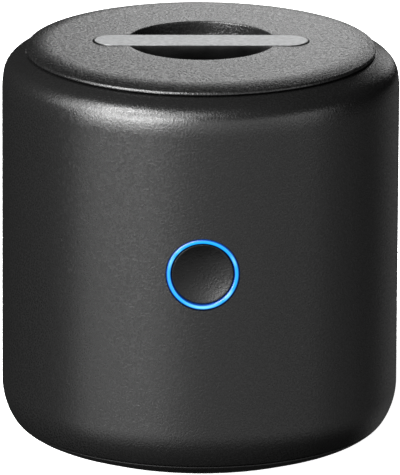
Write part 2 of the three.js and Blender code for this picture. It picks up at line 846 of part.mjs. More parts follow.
place("button_ribbon", ribbon(buttonRibbonWidth, buttonHeight - bracketSide / 2), amber());

// The lid sensor stands at the right, behind the mouth's flange
const sensorGroup = new THREE.Group();
sensorGroup.rotation.z = Math.PI / 2;
model.add(sensorGroup);
const sensorTop = flangeUnderside - linerWall - fitGap;
const sensorBottom = sensorTop - sensorBoardHeight;
const sensorBoard = block(sensorBoardWidth, smallBoardThickness, sensorBottom, sensorTop);
sensorBoard.translate(0, -smallBoardBack - smallBoardThickness / 2, 0);
place("lid_sensor_board", sensorBoard, greenBoard(), sensorGroup);
const sensorMiddle = (sensorBottom + sensorTop) / 2;
const sensor = block(
  sensorSide, sensorHeight, sensorMiddle - sensorSide / 2, sensorMiddle + sensorSide / 2);
sensor.translate(0, -smallBoardFront - sensorHeight / 2, 0);
place("lid_sensor", sensor, darkPlastic(), sensorGroup);
place("sensor_ribbon", ribbon(sensorRibbonWidth, sensorBottom), amber(), sensorGroup);

// Lid and what it carries
place("lid_shell", lidShell(), charcoal());
place("handle_bar", handleBar(), darkPlastic());
place("handle_inlay", handleInlay(), satinMetal());
place("lid_cover", lidCover(), darkPlastic());
place(
  "lid_reflector",
  disc(spigotInside - mirrorInset, spigotBottom - mirrorThickness, spigotBottom, ringFacets),
  mirrorMetal());
place(
  "lid_seal",
  ring(mouthRadius, mouthRadius + sealWidth, lidEdge - sealThickness, lidEdge, ringFacets),
  silicone());
const gripBottom = lidEdge - gripDrop - gripWidth;
place(
  "grip_ring",
  ring(
    spigotRadius - gripBite + fitGap,
    spigotRadius + gripProud,
    gripBottom,
    gripBottom + gripWidth,
    ringFacets),
  blackRubber());
const magnet = place("sensor_magnet", disc(magnetRadius, 0, magnetHeight, smallFacets), steel());
magnet.position.set(magnetPlace, 0, coverTop);

const lidHeadSeat = spigotBottom + screwHeadHeight + fitGap;
quarterAngles.forEach((angle, index) => {
  const mesh = place(
    `lid_screw_${index + 1}`,
    screw(screwHeadRadius, screwHeadHeight, screwRadius, coverTop + lidScrewBite - lidHeadSeat),
    steel());
  const x = lidScrewCircle * Math.cos(angle);
  mesh.position.set(x, lidScrewCircle * Math.sin(angle), lidHeadSeat);
});

[1, -1].forEach((side, index) => {
  const mesh = place(
    `bar_screw_${index + 1}`,
    screw(screwHeadRadius, screwHeadHeight, screwRadius, pocketWall + barScrewBite),
    steel());
  mesh.position.set(side * (barLength / 2 - barScrewInset), 0, barBottom - pocketWall);
});

export default model;
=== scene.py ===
# A round pacifier sterilizer case: a charcoal moulded body and lift-off lid, a satin metal bar
# over a finger recess, and a dished button in a lit blue ring. Metres, +Z up, the front faces -Y.

import json
import math
import bpy
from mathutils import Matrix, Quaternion, Vector


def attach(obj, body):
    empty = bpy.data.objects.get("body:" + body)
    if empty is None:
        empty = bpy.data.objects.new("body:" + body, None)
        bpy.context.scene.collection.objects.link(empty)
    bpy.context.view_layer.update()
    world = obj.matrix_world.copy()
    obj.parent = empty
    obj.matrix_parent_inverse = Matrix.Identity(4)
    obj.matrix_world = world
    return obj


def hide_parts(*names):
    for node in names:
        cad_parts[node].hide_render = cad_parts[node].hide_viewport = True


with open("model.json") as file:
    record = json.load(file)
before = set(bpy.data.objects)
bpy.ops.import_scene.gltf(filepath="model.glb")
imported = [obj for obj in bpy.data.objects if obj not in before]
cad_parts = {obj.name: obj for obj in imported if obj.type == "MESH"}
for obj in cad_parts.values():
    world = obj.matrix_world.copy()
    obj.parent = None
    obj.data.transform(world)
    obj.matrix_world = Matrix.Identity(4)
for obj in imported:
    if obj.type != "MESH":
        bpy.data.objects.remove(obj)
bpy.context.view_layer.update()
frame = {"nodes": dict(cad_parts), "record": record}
nodes = frame["nodes"]

mm = 0.001
tiny = 1e-6  # points closer than this, in metres, are one point
quarter = math.pi / 2
crease = math.radians(32)  # edges that bend by more than this stay sharp


# ---- Sizes, in millimetres ----

# The body's radius is a hair less than the solid's 40, so that the scene stays inside its box
body_radius, shell_wall, mouth_radius = 39.998, 2.2, 31.62
rim_radius, rim_height = 35.3, 79.8  # the flat rim under the lid
blend_radius, blend_end = 18.0, math.radians(10)
shoulder_radius, shoulder_slope, brow_radius = 4.37, math.radians(32), 20.0
seam_height, seam_gap, lower_radius, lower_height = 4.2, 0.2, 13.4, 11.6
edge_radius, cone_slope, edge_slope, base_bottom = 8.0, math.radians(20), math.radians(47), 0.3
button_height, socket_height = 44.7, 13.93
ring_inner, ring_outer = 6.3, 7.28
port_length, port_width = 12.14, 6.46

# The wall runs up into the shoulder through a gentle blend, and the shoulder into the flatter brow
blend_step = blend_radius - shoulder_radius
shoulder_middle = body_radius - blend_radius + blend_step * math.cos(blend_end)
brow_start = shoulder_middle + shoulder_radius * math.sin(shoulder_slope)
brow_middle = brow_start - brow_radius * math.sin(shoulder_slope)
brow_end = math.asin((rim_radius - brow_middle) / brow_radius)
brow_centre = (brow_middle, rim_height - brow_radius * math.cos(brow_end))
shoulder_centre = (shoulder_middle,
                   brow_centre[1] + (brow_radius - shoulder_radius) * math.cos(shoulder_slope))
blend_centre = (body_radius - blend_radius,
                shoulder_centre[1] - blend_step * math.sin(blend_end))
lower_angle = math.degrees(math.asin((lower_height - seam_height) / lower_radius))
lower_centre = (body_radius - lower_radius, lower_height)
seam_radius = lower_centre[0] + lower_radius * math.cos(math.radians(lower_angle))
shell_lip = lower_centre[0] + (lower_radius - shell_wall) * math.cos(math.radians(lower_angle))
flange_under = shoulder_centre[1] + shoulder_radius - shell_wall


# ---- Materials ----

def linear(code, alpha=1.0):
    """An sRGB hex colour as linear values."""
    channels = [int(code[place:place + 2], 16) / 255 for place in (1, 3, 5)]
    return [c / 12.92 if c <= 0.04045 else ((c + 0.055) / 1.055) ** 2.4
            for c in channels] + [alpha]


def add(tree, kind, inputs=None, **settings):
    """Adds a node, with its settings, and its inputs set to values or linked to outputs."""
    made = tree.nodes.new(kind)
    for key, value in settings.items():
        setattr(made, key, value)
    for key, value in (inputs or {}).items():
        if isinstance(value, bpy.types.NodeSocket):
            tree.links.new(value, made.inputs[key])
        else:
            made.inputs[key].default_value = value
    return made


def plain_finish(name, colour, roughness, metallic=0.0, **values):
    """A new material whose shader has its plain values, with the piece's own coordinates."""
    material = bpy.data.materials.new(name)
    material.use_nodes = True
    tree = material.node_tree
    shader = tree.nodes["Principled BSDF"]
    plain = {"Base Color": linear(colour), "Roughness": roughness, "Metallic": metallic, **values}
    for key, value in plain.items():
        shader.inputs[key].default_value = value
    place = add(tree, "ShaderNodeTexCoord").outputs["Object"]
    return material, tree, shader, place


def tint(tree, shader, factor, first, second, low=0.35, high=0.65):
    """Lets a pattern shift the colour between two tones."""
    ramp = add(tree, "ShaderNodeValToRGB", {"Fac": factor})
    ramp.color_ramp.elements[0].position, ramp.color_ramp.elements[0].color = low, linear(first)
    ramp.color_ramp.elements[1].position, ramp.color_ramp.elements[1].color = high, linear(second)
    tree.links.new(ramp.outputs["Color"], shader.inputs["Base Color"])


def gloss(tree, shader, factor, low, high):
    """Lets a noise pattern, mostly between 0.3 and 0.7, shift the roughness between two values."""
    span = add(tree, "ShaderNodeMapRange", {"Value": factor, "From Min": 0.3, "From Max": 0.7,
                                            "To Min": low, "To Max": high})
    tree.links.new(span.outputs["Result"], shader.inputs["Roughness"])


def relief(tree, shader, height, depth):
    """Lets a pattern raise the surface by a depth in millimetres."""
    bump = add(tree, "ShaderNodeBump", {"Height": height, "Distance": depth * mm, "Strength": 1.0})
    tree.links.new(bump.outputs["Normal"], shader.inputs["Normal"])


def spark_eroded(name, colour, dark, light, rough, grain_size, depth, index=1.5):
    """ABS moulded in a spark-eroded tool: an even, fine grain that breaks up every reflection."""
    material, tree, shader, place = plain_finish(name, colour, rough, IOR=index)
    # The real grain is about 0.15 mm; it is drawn coarser, at two pixels or more, so that it shows
    noise = add(tree, "ShaderNodeTexNoise", {"Vector": place, "Scale": 1 / (grain_size * mm),
                                             "Detail": 2.0, "Roughness": 0.7})
    grain = noise.outputs["Fac"]
    tint(tree, shader, grain, dark, light, 0.44, 0.6)
    # The tops of the grain are smoother than its hollows, so a lit face glitters a little
    swing = 0.13
    gloss(tree, shader, grain, rough + swing, rough - swing)
    relief(tree, shader, grain, depth)
    return material


# Charcoal ABS of the shell and base: a soft grey sheen over a fine grain
case_plastic = spark_eroded("spark_eroded_abs", "#0F0F0F", "#0B0B0B", "#131313", 0.26,
                            grain_size=0.42, depth=0.07)
# The lid is the same plastic, its grain drawn coarser again because it is seen at a low angle
lid_plastic = spark_eroded("spark_eroded_abs_lid", "#0F0F0F", "#080808", "#181818", 0.26,
                           grain_size=0.5, depth=0.1)
# The button's cap has a soft-touch coat, which mirrors less and looks darker
button_plastic = spark_eroded("soft_touch_abs", "#050505", "#030303", "#080808", 0.34,
                              grain_size=0.42, depth=0.06, index=1.37)


def moulded(name, colour, dark, light, rough, grain_size=0.6, depth=0.006):
    """Injection moulded plastic: even colour, faint flow clouds and slightly wavy gloss."""
    material, tree, shader, place = plain_finish(name, colour, rough, IOR=1.48)
    flow = add(tree, "ShaderNodeTexNoise", {"Vector": place, "Scale": 1 / (6 * mm), "Detail": 3.0})
    fine = add(tree, "ShaderNodeTexNoise", {"Vector": place, "Scale": 1 / (grain_size * mm)})
    swing = 0.06
    tint(tree, shader, flow.outputs["Fac"], dark, light)
    gloss(tree, shader, flow.outputs["Fac"], rough - swing, rough + swing)
    relief(tree, shader, fine.outputs["Fac"], depth)
    return material


# Black ABS of the frames, brackets and port plate: half matt, a little greyer than the outside
dark_plastic = moulded("moulded_black_abs", "#141516", "#101112", "#1A1B1C", 0.5)
# White polypropylene of the rest for the pacifiers: waxy and slightly warm
white_plastic = moulded("moulded_white_polypropylene", "#E4E4E0", "#DCDCD7", "#EDEDEA", 0.42)
# The bar's sides are polished black plastic, drawn darker than the case as painted shade of the
# recess under the bar
bar_plastic = moulded("polished_black_abs_painted_shade", "#050505", "#040404", "#070707", 0.2)
# Silicone and rubber: dull black with a dusty bloom
black_rubber = moulded("moulded_rubber", "#0C0C0D", "#090909", "#131313", 0.82,
                       grain_size=0.35, depth=0.012)
# Green solder mask over glass fibre: glossy, with a slow waviness from the copper under it
circuit_board = moulded("solder_masked_board", "#1A5636", "#154A2E", "#20633F", 0.35,
                        grain_size=1.6)
# White mask on an aluminium lamp board: pale and even
lamp_board = moulded("white_masked_aluminium_board", "#DDE0E2", "#D3D6D8", "#E6E8EA", 0.4,
                     grain_size=1.2)
# The battery's laminated film: grey-blue, gently creased
cell_wrap = moulded("pouch_cell_film", "#98A2AC", "#8A949E", "#A8B1BA", 0.38,
                    grain_size=4, depth=0.1)
# Polyimide of the ribbons: amber and shiny
amber_film = moulded("polyimide_film", "#B8701C", "#A66416", "#C97F28", 0.3, grain_size=2)
# Ceramic of the lamp diodes: cream white, smooth
diode_ceramic = moulded("white_ceramic", "#EFEBD8", "#E6E1CB", "#F6F3E4", 0.35)


def metal(name, colour, dark, light, rough, spread, stretch, depth=0.002, mark=0.22):
    """Metal with the fine marks of its finishing, drawn out along X where it is brushed."""
    material, tree, shader, place = plain_finish(name, colour, rough, 1.0)
    laid = add(tree, "ShaderNodeMapping", {"Vector": place, "Scale": (1 / stretch, 1, 1)})
    marks = add(tree, "ShaderNodeTexNoise", {"Vector": laid.outputs["Vector"], "Detail": 3.0,
                                             "Scale": 1 / (mark * mm), "Roughness": 0.65})
    tint(tree, shader, marks.outputs["Fac"], dark, light)
    gloss(tree, shader, marks.outputs["Fac"], rough - spread, rough + spread)
    relief(tree, shader, marks.outputs["Fac"], depth)
    return material


# The bar's face: blasted and anodised aluminium, an even light grey with a faint lengthwise mark
satin_metal = metal("anodised_aluminium", "#BBBCBD", "#A2A3A4", "#D0D1D2", 0.45,
                    spread=0.06, stretch=2, depth=0.02, mark=0.5)
# Steel of the screws and the socket: greyer, with rolling marks drawn out along it
steel = metal("rolled_steel", "#B4B6B9", "#A6A8AB", "#BFC1C4", 0.32, spread=0.06, stretch=6)
# The chamber's metal coat: nearly a mirror, so the chamber looks deep and bright
mirror_metal = metal("vacuum_coated_reflector", "#D9DBDF", "#D3D5D9", "#DFE1E5", 0.1,
                     spread=0.03, stretch=1, depth=0.0008)

# Fused quartz: clear, polished, with the faintest waviness
quartz, tree, shader, place = plain_finish(
    "fused_quartz", "#EEF4F7", 0.04, IOR=1.46, **{"Transmission Weight": 1.0})
wave = add(tree, "ShaderNodeTexNoise", {"Vector": place, "Scale": 1 / (5 * mm)})
gloss(tree, shader, wave.outputs["Fac"], 0.03, 0.06)
relief(tree, shader, wave.outputs["Fac"], 0.002)

# Lit ring: a frosted light guide that glows from lamps behind it, bright along its middle and deep
# blue at its edges. The blue edges are partly the guide's own fall-off and partly painted shade of
# its rounded edges; the near white places are partly lamps behind it and partly painted highlights
# on its rounded face
lit_ring, tree, shader, place = plain_finish("frosted_light_guide", "#062A66", 0.3, IOR=1.49)
centred = add(tree, "ShaderNodeMapping", {
    "Vector": place, "Location": (0, 0, -button_height * mm)})
parts = add(tree, "ShaderNodeSeparateXYZ", {"Vector": centred.outputs["Vector"]})
flat = add(tree, "ShaderNodeCombineXYZ", {"X": parts.outputs["X"], "Y": parts.outputs["Z"]})
reach = add(tree, "ShaderNodeVectorMath", {0: flat.outputs["Vector"]}, operation="LENGTH")
across = add(tree, "ShaderNodeMapRange", {
    "Value": reach.outputs["Value"], "From Min": ring_inner * mm, "From Max": ring_outer * mm})
# The band's dark blue ends are partly the guide's fall-off and partly painted shade of the ring's
# rounded edges
band = add(tree, "ShaderNodeValToRGB", {"Fac": across.outputs["Result"]})
band.color_ramp.interpolation = "EASE"
stops = band.color_ramp.elements
stops[0].color, stops[-1].color = linear("#02163F"), linear("#020F33")
for position, code in ((0.1, "#052C70"), (0.26, "#02B2F0"), (0.66, "#02B2F0"), (0.82, "#07408E")):
    stops.new(position).color = linear(code)
around = add(tree, "ShaderNodeMath", {0: parts.outputs["Z"], 1: parts.outputs["X"]},
             operation="ARCTAN2")
spots_of_lamps_and_painted_highlights = None
# Each bright place: its bearing round the ring and its half width, in degrees, and its strength.
# Those at -90, 24 and 158 degrees stand for lamps behind the ring; those at -40 and 135 are
# painted highlights of the soft key light on the ring's rounded face
for bearing, width, amount in ((-90, 42, 0.75), (-40, 16, 0.7), (24, 15, 0.5), (158, 17, 0.5),
                               (135, 10, 0.35)):
    apart = add(tree, "ShaderNodeMath", {0: around.outputs[0], 1: math.radians(bearing)},
                operation="SUBTRACT")
    away = add(tree, "ShaderNodeMath", {0: apart.outputs[0]}, operation="ABSOLUTE")
    near = add(tree, "ShaderNodeMapRange", {
        "Value": away.outputs[0], "From Min": 0.0, "From Max": math.radians(width),
        "To Min": amount, "To Max": 0.0}, interpolation_type="SMOOTHSTEP").outputs["Result"]
    spots_of_lamps_and_painted_highlights = near if spots_of_lamps_and_painted_highlights is None else add(
        tree, "ShaderNodeMath", {0: spots_of_lamps_and_painted_highlights, 1: near}, operation="MAXIMUM").outputs[0]
# The bright places fade before they reach the ring's dark edges; shares of the ring's width
off_middle = add(tree, "ShaderNodeMath", {0: across.outputs["Result"], 1: 0.45},
                 operation="SUBTRACT")
off_middle = add(tree, "ShaderNodeMath", {0: off_middle.outputs[0]}, operation="ABSOLUTE")
middle = add(tree, "ShaderNodeMapRange", {
    "Value": off_middle.outputs[0], "From Min": 0.08, "From Max": 0.36,
    "To Min": 1.0, "To Max": 0.0})
# The lamp spots and painted highlights lift the band toward near white, only along its middle
spot_weight = add(tree, "ShaderNodeMath", {0: spots_of_lamps_and_painted_highlights, 1: middle.outputs["Result"]}, operation="MULTIPLY")
shine = add(tree, "ShaderNodeMix", {"Factor": spot_weight.outputs[0], "A": band.outputs["Color"],
                                    "B": linear("#9CFBFF")}, data_type="RGBA")
tree.links.new(shine.outputs["Result"], shader.inputs["Emission Color"])
shader.inputs["Emission Strength"].default_value = 1.0


# ---- Making pieces ----

def begin(name, add_primitive, **settings):
    """Adds a primitive with nothing else selected, names it and opens it for editing."""
    bpy.ops.object.select_all(action="DESELECT")
    add_primitive(**settings)
    piece = bpy.context.object
    piece.name = piece.data.name = name
    bpy.ops.object.mode_set(mode="EDIT")
    return piece


def close(piece):
    """Ends editing, with the faces pointing out and the curves shaded smooth."""
    bpy.ops.mesh.select_all(action="SELECT")
    bpy.ops.mesh.remove_doubles(threshold=tiny)
    bpy.ops.mesh.normals_make_consistent(inside=False)
    bpy.ops.object.mode_set(mode="OBJECT")
    bpy.ops.object.shade_smooth_by_angle(angle=crease)
    return piece


def only(piece):
    """Selects one piece alone."""
    bpy.ops.object.select_all(action="DESELECT")
    piece.select_set(True)
    bpy.context.view_layer.objects.active = piece


def pick(piece, wanted):
    """Opens the piece for editing with the points selected whose place is wanted."""
    bpy.ops.mesh.select_mode(type="VERT")
    bpy.ops.mesh.select_all(action="DESELECT")
    bpy.ops.object.mode_set(mode="OBJECT")
    for vertex in piece.data.vertices:
        vertex.select = wanted(vertex.co)
    bpy.ops.object.mode_set(mode="EDIT")


def turned(name, outline, steps=192):
    """A turned piece: its outline is drawn point by point from one vertex, then spun about Z."""
    piece = begin(name, bpy.ops.mesh.primitive_plane_add, size=mm)
    bpy.ops.mesh.merge(type="CENTER")
    bpy.ops.transform.translate(value=(outline[0][0] * mm, 0, outline[0][1] * mm))
    for here, there in zip(outline, outline[1:]):
        step = ((there[0] - here[0]) * mm, 0, (there[1] - here[1]) * mm)
        bpy.ops.mesh.extrude_vertices_move(TRANSFORM_OT_translate={"value": step})
    bpy.ops.mesh.select_all(action="SELECT")
    bpy.ops.mesh.spin(steps=steps, angle=math.tau, center=(0, 0, 0), axis=(0, 0, 1))
    return close(piece)


def slab(name, length, width, bottom, top, soften=0.0, wall=0.0, rounding=24):
    """A slab with round ends, or a tube of that outline where a wall is given."""
    step = math.pi / (2 * rounding)
    piece = begin(name, bpy.ops.mesh.primitive_circle_add, vertices=2 * rounding,
                  radius=width / 2 * mm / math.cos(step), rotation=(0, 0, step))
    bpy.ops.object.mode_set(mode="OBJECT")
    bpy.ops.object.transform_apply(rotation=True)
    bpy.ops.object.mode_set(mode="EDIT")
    for side in (1, -1):
        pick(piece, lambda point: point.x * side > 0)
        bpy.ops.transform.translate(value=(side * (length - width) / 2 * mm, 0, 0))
    bpy.ops.mesh.select_all(action="SELECT")
    bpy.ops.transform.translate(value=(0, 0, bottom * mm))
    bpy.ops.mesh.edge_face_add()
    if wall:
        bpy.ops.mesh.inset(thickness=wall * mm)
        bpy.ops.mesh.delete(type="ONLY_FACE")
        bpy.ops.mesh.select_all(action="SELECT")
    bpy.ops.mesh.extrude_region_move(TRANSFORM_OT_translate={"value": (0, 0, (top - bottom) * mm)})
    if soften:
        pick(piece, lambda point: point.z > (top - soften) * mm)
        bpy.ops.mesh.bevel(offset=soften * mm, segments=3, affect="EDGES")
    return close(piece)


def block(name, size, place, soften):
    """A box at a place, its edges rounded over."""
    piece = begin(name, bpy.ops.mesh.primitive_cube_add, size=1)
    bpy.ops.transform.resize(value=[side * mm for side in size])
    bpy.ops.transform.translate(value=[part * mm for part in place])
    bpy.ops.mesh.bevel(offset=soften * mm, segments=3, affect="EDGES")
    return close(piece)


def put(piece, place=(0, 0, 0), turn=(0, 0, 0)):
    """Turns a piece about the origin, moves it, and keeps its place in its mesh."""
    only(piece)
    piece.rotation_euler = turn
    piece.location = [part * mm for part in place]
    bpy.ops.object.transform_apply(location=True, rotation=True)
    return piece


def copied(piece, name):
    """A copy of a piece, with its own mesh."""
    only(piece)
    bpy.ops.object.duplicate()
    twin = bpy.context.object
    twin.name = twin.data.name = name
    return twin


def shape(piece, tool, operation="DIFFERENCE"):
    """Cuts, joins or trims a piece with a tool, which is used up."""
    only(piece)
    modifier = piece.modifiers.new("shape", "BOOLEAN")
    modifier.object, modifier.operation, modifier.solver = tool, operation, "EXACT"
    bpy.ops.object.modifier_apply(modifier=modifier.name)
    bpy.data.objects.remove(tool)
    bpy.ops.object.shade_smooth_by_angle(angle=crease)
    return piece


def dress(piece, material, body, stands_for):
    """Gives a piece its finish, its body and the nodes that it stands for."""
    if material.name not in piece.data.materials:
        piece.data.materials.clear()
        piece.data.materials.append(material)
    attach(piece, body)
    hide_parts(*stands_for)
    return piece


def arc(centre, radius, start, end, steps):
    """Points of a circle's arc, from one angle to another in degrees."""
    angles = [math.radians(start + (end - start) * step / steps) for step in range(steps + 1)]
    return [(centre[0] + radius * math.cos(a), centre[1] + radius * math.sin(a)) for a in angles]


def rounded(*corners, closed=True, steps=4):
    """An outline's points; a corner with a third number is rounded to that radius."""
    points = []
    for index, (across, up, *fillet) in enumerate(corners):
        here = Vector((across, up))
        if not fillet:
            points.append((across, up))
            continue
        before = (Vector(corners[index - 1][:2]) - here).normalized()
        after = (Vector(corners[(index + 1) % len(corners)][:2]) - here).normalized()
        half = before.angle(after) / 2
        centre = here + (before + after).normalized() * fillet[0] / math.sin(half)
        start = here + before * fillet[0] / math.tan(half) - centre
        end = here + after * fillet[0] / math.tan(half) - centre
        for step in range(steps + 1):
            points.append(tuple(centre + start.lerp(end, step / steps).normalized() * fillet[0]))
    return points + points[:1] if closed else points


# Turns that make a piece drawn along Z face the front or the back
to_front, to_back = (quarter, 0, 0), (-quarter, 0, 0)


# ---- Shell, base and foot ----

shoulder_end = 90 - math.degrees(shoulder_slope)
shell = turned("shell", rounded(
    (seam_radius, seam_height, 0.22),
    *arc(lower_centre, lower_radius, -lower_angle, 0, 14)[1:],
    *[(body_radius, height) for height in (20, 28, 36.2, 53.2, 61, 68)],
    *arc(blend_centre, blend_radius, 0, math.degrees(blend_end), 6),
    *arc(shoulder_centre, shoulder_radius, math.degrees(blend_end), shoulder_end, 14)[1:],
    *arc(brow_centre, brow_radius, shoulder_end, 90 - math.degrees(brow_end), 6)[1:-1],
    (rim_radius, rim_height, 0.3),
    (mouth_radius, rim_height, 0.25),
    (mouth_radius, flange_under),
    *arc(shoulder_centre, shoulder_radius - shell_wall, 90, 0, 6),
    *arc(lower_centre, lower_radius - shell_wall, 0, -lower_angle, 6),
), steps=240)
# Holes through the wall for the button and the port, each a little wider than what fills it
hole_radius, port_gap, hole_start, hole_end = ring_outer + 0.14, 0.3, 33, 42
button_hole = turned("button_hole", [
    (0, hole_start), (hole_radius, hole_start), (hole_radius, hole_end), (0, hole_end)], steps=96)
shape(shell, put(button_hole, (0, 0, button_height), to_front))
port_hole = slab("port_hole", port_length + 2 * port_gap, port_width + 2 * port_gap,
                 hole_start, hole_end)
shape(shell, put(port_hole, (0, 0, socket_height), to_back))
dress(shell, case_plastic, "body", ["outer_shell"])

edge_start = (seam_radius - 0.15, seam_height - seam_gap)
edge_centre = (edge_start[0] - edge_radius * math.sin(edge_slope),
               edge_start[1] + edge_radius * math.cos(edge_slope))
edge_curve = arc(edge_centre, edge_radius, math.degrees(cone_slope) - 90,
                 math.degrees(edge_slope) - 90, 10)
underside = edge_curve[0][0] - (edge_curve[0][1] - base_bottom) / math.tan(cone_slope)
# The foot ring is held in a groove that is a little wider and deeper
foot_middle, foot_half, foot_bottom, foot_top = underside - 3.7, 2.5, 0.002, 1.0
channel_half, channel_top = 2.8, 1.02
rim_outer, rim_inner, rim_top, base_floor = shell_lip - 0.3, shell_lip - 2.3, 10.8, 2.4
base = turned("base", rounded(
    (0, base_bottom),
    (foot_middle - channel_half, base_bottom, 0.2),
    (foot_middle - channel_half, channel_top),
    (foot_middle + channel_half, channel_top),
    (foot_middle + channel_half, base_bottom, 0.2),
    (underside, base_bottom),
    *edge_curve[:-1],
    (*edge_start, 0.14),
    (rim_outer, edge_start[1]),
    (rim_outer, rim_top),
    (rim_inner, rim_top),
    (rim_inner, base_floor),
    (0, base_floor),
    closed=False), steps=240)
dress(base, case_plastic, "body", ["base_cap"])

foot = turned("foot", rounded(
    (foot_middle - foot_half, foot_bottom, 0.35), (foot_middle + foot_half, foot_bottom, 0.35),
    (foot_middle + foot_half, foot_top), (foot_middle - foot_half, foot_top)))
dress(foot, black_rubber, "body", ["foot_ring"])


# ---- Charging port, at the back ----

# A thin steel tube with a closed back and a tongue inside
tube_length, tube_width, tube_back, tube_front = 8.94, 3.26, 28.4, 35.78
socket = slab("charging_socket", tube_length, tube_width, tube_back, tube_front, wall=0.3)
shape(socket, slab("socket_back", 8.8, 3.1, tube_back, tube_back + 0.4), "UNION")
shape(socket, block("tongue", (6.2, 0.7, 6.4), (0, 0, 31.8), 0.12), "UNION")
dress(put(socket, (0, 0, socket_height), to_back), steel, "body", ["usb_socket"])

plate_back, plate_front, slot_length, slot_width = 36.09, 36.99, 8.64, 2.96
port_plate = slab("port_plate", port_length, port_width, plate_back, plate_front, soften=0.2)
shape(port_plate, slab("port_slot", slot_length, slot_width, plate_back - 1, plate_front + 1))
dress(put(port_plate, (0, 0, socket_height), to_back), dark_plastic, "body",
      ["port_bezel"])


# ---- Chamber, its window and the rest for the pacifiers ----

liner_radius, liner_wall, liner_bottom = 32.42, 1.2, 22.76
flange_radius, lamp_opening = 34.9, 13.6
liner = turned("liner", rounded(
    (lamp_opening, liner_bottom),
    (liner_radius, liner_bottom, 1.0),
    (liner_radius, flange_under - liner_wall),
    (flange_radius, flange_under - liner_wall),
    (flange_radius, flange_under),
    (liner_radius - liner_wall, flange_under, 0.35),
    (liner_radius - liner_wall, liner_bottom + liner_wall, 1.6),
    (lamp_opening, liner_bottom + liner_wall, 0.4)))
dress(liner, mirror_metal, "body", ["chamber_liner"])

window_radius, window_bottom, window_top = 15.6, 21.26, 22.74
window = turned("window", rounded(
    (0, window_bottom), (window_radius, window_bottom, 0.15),
    (window_radius, window_top, 0.15), (0, window_top), closed=False))
dress(window, quartz, "body", ["quartz_window"])

rest_bottom, rest_top, rest_inner, rest_outer = 27.16, 28.76, 28.72, 30.92
leg_radius, leg_bottom, leg_top = 1.1, 23.97, 28.1


def rest_ring(name, inner, outer):
    """A flat ring of the rest, its edges rounded over so that nothing scratches a teat."""
    return turned(name, rounded(
        (inner, rest_bottom, 0.5), (outer, rest_bottom, 0.5),
        (outer, rest_top, 0.5), (inner, rest_top, 0.5)))


rest = rest_ring("rest", rest_inner, rest_outer)
shape(rest, rest_ring("rest_hub", 6.8, 9), "UNION")
# One arm on its leg is made along X, and copied to three sides
arm = block("rest_arm", (21.4, 2.2, 1.5), (18.8, 0, (rest_bottom + rest_top) / 2), 0.45)
leg = turned("rest_leg", rounded(
    (0, leg_bottom), (leg_radius, leg_bottom, 0.25), (leg_radius, leg_top), (0, leg_top),
    closed=False), steps=32)
shape(arm, put(leg, ((rest_inner + rest_outer) / 2, 0, 0)), "UNION")
put(arm, turn=(0, 0, quarter))
for step in (0, 1, 2):
    shape(rest, put(copied(arm, "rest_spoke"), turn=(0, 0, step * math.tau / 3)), "UNION")
bpy.data.objects.remove(arm)
dress(rest, white_plastic, "body", ["pacifier_rest"])


# ---- Lamp diodes: a square ceramic body with a clear dome ----

diode = block("lamp_diode", (3.5, 3.5, 0.7), (0, 0, 19.01), 0.15)
diode.data.materials.append(diode_ceramic)
dome_bottom, dome_radius = 19.2, 1.3
dome = turned("lamp_dome", [
    (0, dome_bottom), (dome_radius + 0.15, dome_bottom),
    *arc((0, dome_bottom), dome_radius, 24, 90, 10)], steps=48)
dome.data.materials.append(quartz)
only(diode)
dome.select_set(True)
bpy.ops.object.join()
pitch = 8
for index, (x, y) in enumerate(((0, 0), (pitch, 0), (0, pitch), (-pitch, 0), (0, -pitch)), 1):
    twin = put(copied(diode, f"lamp_diode_{index}"), (x, y, 0))
    dress(twin, diode_ceramic, "body", [f"uv_diode_{index}"])
bpy.data.objects.remove(diode)


# ---- Button, dished, in its lit ring ----

dish_depth, cap_radius, cap_edge = 0.95, 6.1, 39.5
dish_radius = (cap_radius ** 2 + dish_depth ** 2) / (2 * dish_depth)
dish_half = math.degrees(math.asin(cap_radius / dish_radius))
dish = arc((0, cap_edge - dish_depth + dish_radius), dish_radius, dish_half - 90, -90, 24)
# A hollow cap with a stem for the switch and a skirt that keeps it behind the ring
cap_back, cap_hollow, skirt_front = 35.22, 37.3, 35.82
stem_radius, hollow_radius, skirt_radius = 1.5, 5.15, 7.15
cap = turned("cap", rounded(
    (0, cap_back),
    (stem_radius, cap_back),
    (stem_radius, cap_hollow),
    (hollow_radius, cap_hollow),
    (hollow_radius, cap_back),
    (skirt_radius, cap_back),
    (skirt_radius, skirt_front),
    (cap_radius, skirt_front),
    (cap_radius, cap_edge, 0.12),
    *dish[2:],
    closed=False), steps=128)
dress(put(cap, (0, 0, button_height), to_front), button_plastic, "button",
      ["button_cap"])

ring_back, ring_shelf, ring_front, ring_flange = 36.07, 37.0, 39.97, 8.6
light = turned("light_ring", rounded(
    (ring_inner, ring_back), (ring_flange, ring_back), (ring_flange, ring_shelf),
    (ring_outer, ring_shelf), (ring_outer, ring_front, 0.38), (ring_inner, ring_front, 0.38),
    steps=6), steps=160)
put(light, (0, 0, button_height), to_front)
# Its front follows the body's curve, which takes hold over a short way in front of the shelf
outside, reach_of_curve = body_radius * mm, 2.5
for vertex in light.data.vertices:
    share = min(max((-vertex.co.y / mm - ring_shelf) / reach_of_curve, 0), 1)
    vertex.co.y += share * (outside - math.sqrt(outside ** 2 - vertex.co.x ** 2))
dress(light, lit_ring, "body", ["button_light_ring"])


# ---- Lid, its recess and the bar across it ----

recess_radius, recess_floor, recess_curve, recess_wall = 14.85, 72.55, 8.0, 1.6
recess_centre = (recess_radius - recess_curve, recess_floor + recess_curve)
top_radius, top_rim = 900.0, 82.1


def top_height(radius):
    """Height of the lid's slightly domed top."""
    return top_rim - (radius ** 2 - recess_radius ** 2) / (2 * top_radius)


